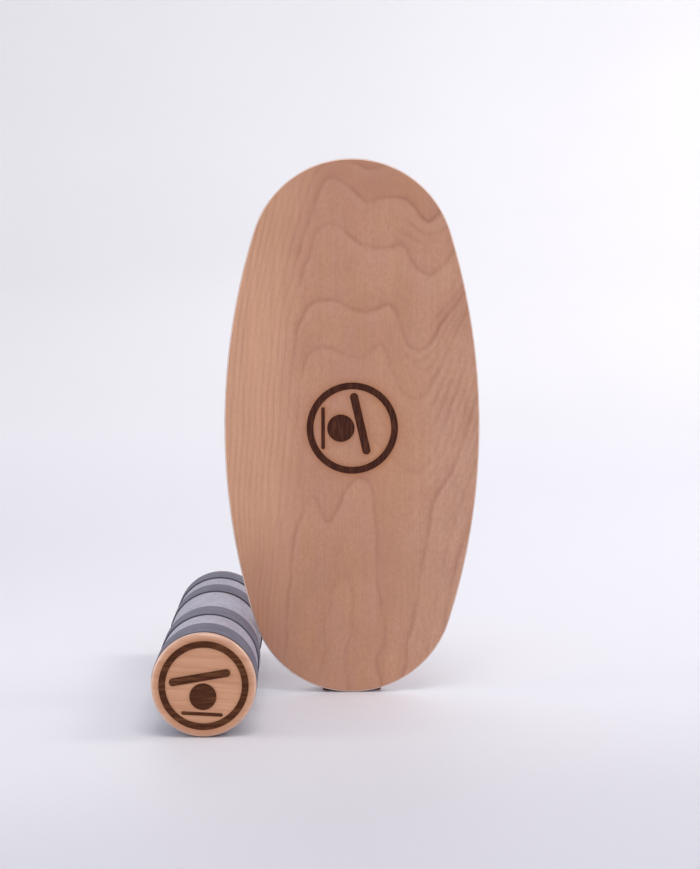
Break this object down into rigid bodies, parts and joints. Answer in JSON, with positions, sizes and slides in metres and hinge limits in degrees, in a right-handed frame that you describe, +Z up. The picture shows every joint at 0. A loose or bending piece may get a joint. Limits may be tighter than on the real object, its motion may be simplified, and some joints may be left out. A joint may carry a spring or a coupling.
{
  "type": "balance board",
  "caption": "Oval wooden balance board standing on its end beside its loose roller, a plastic tube with rubber grip rings and wooden end caps.",
  "frame": {"origin": "on the floor, under the middle of the whole set's bounding box, which is halfway along the roller", "axes": "+Z up along the standing deck's length; the deck's standing surface faces -Y and the roller's axis runs along Y; +X from the roller to the deck"},
  "size_m": [0.4245, 0.494, 0.72],
  "materials": {
    "deck_wood": "oiled birch plywood face, satin",
    "stopper_wood": "oiled solid beech, satin",
    "cap_wood": "turned and oiled light wood, satin",
    "tube_plastic": "matte light grey pipe",
    "ring_rubber": "matte mid grey grip rubber",
    "screw_steel": "bright zinc"
  },
  "bodies": {
    "board": {"deck": "deck_wood", "stopper_lower": "stopper_wood", "stopper_upper": "stopper_wood", "stopper_screw_lower_left": "screw_steel", "stopper_screw_lower_right": "screw_steel", "stopper_screw_upper_left": "screw_steel", "stopper_screw_upper_right": "screw_steel"},
    "roller": {"roller_tube": "tube_plastic", "grip_ring_1": "ring_rubber", "grip_ring_2": "ring_rubber", "grip_ring_3": "ring_rubber", "grip_ring_4": "ring_rubber", "end_cap_front": "cap_wood", "end_cap_rear": "cap_wood", "cap_screw_front_1": "screw_steel", "cap_screw_front_2": "screw_steel", "cap_screw_front_3": "screw_steel", "cap_screw_rear_1": "screw_steel", "cap_screw_rear_2": "screw_steel", "cap_screw_rear_3": "screw_steel"}
  },
  "joints": [
    {"name": "roller_roll", "type": "hinge", "parent": "board", "child": "roller", "pos_m": [-0.14775, 0, 0.0645], "axis": [0, 1, 0], "continuous": true}
  ]
}
